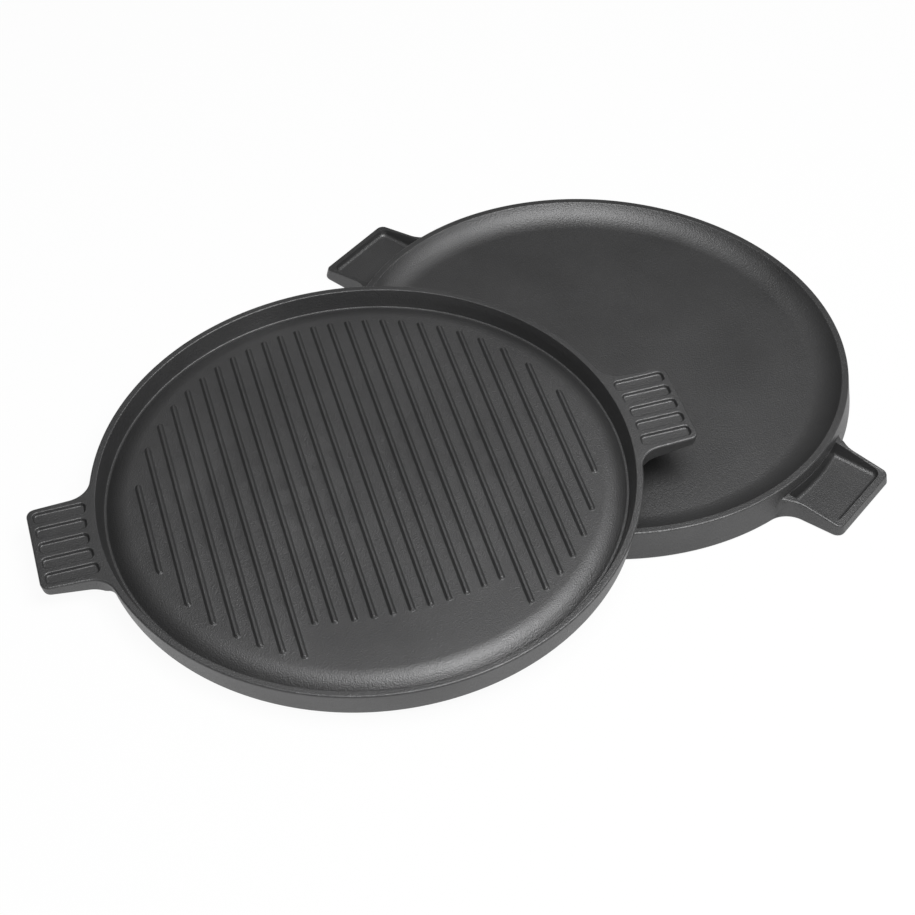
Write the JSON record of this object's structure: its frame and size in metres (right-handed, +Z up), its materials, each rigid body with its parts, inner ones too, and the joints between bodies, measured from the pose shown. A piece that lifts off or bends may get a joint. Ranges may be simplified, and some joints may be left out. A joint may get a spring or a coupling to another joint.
{
  "type": "griddle plate",
  "caption": "Reversible round cast iron griddle plates with two tab handles, one flat with its smooth face up, one leaning on it with its ribbed face up.",
  "frame": {"origin": "on the floor under the middle of the pair", "axes": "+Z up; +X from the centre of the leaning plate to the centre of the flat plate"},
  "size_m": [0.581, 0.4248, 0.0487],
  "materials": {
    "cast_iron": "satin black, fine cast grain"
  },
  "bodies": {
    "flat_plate": {"flat_plate": "cast_iron"},
    "leaning_plate": {"leaning_plate": "cast_iron"}
  },
  "joints": [
    {"name": "lift_off", "type": "slide", "parent": "flat_plate", "child": "leaning_plate", "axis": [0, 0, 1], "range_m": [0, 0.12]}
  ]
}
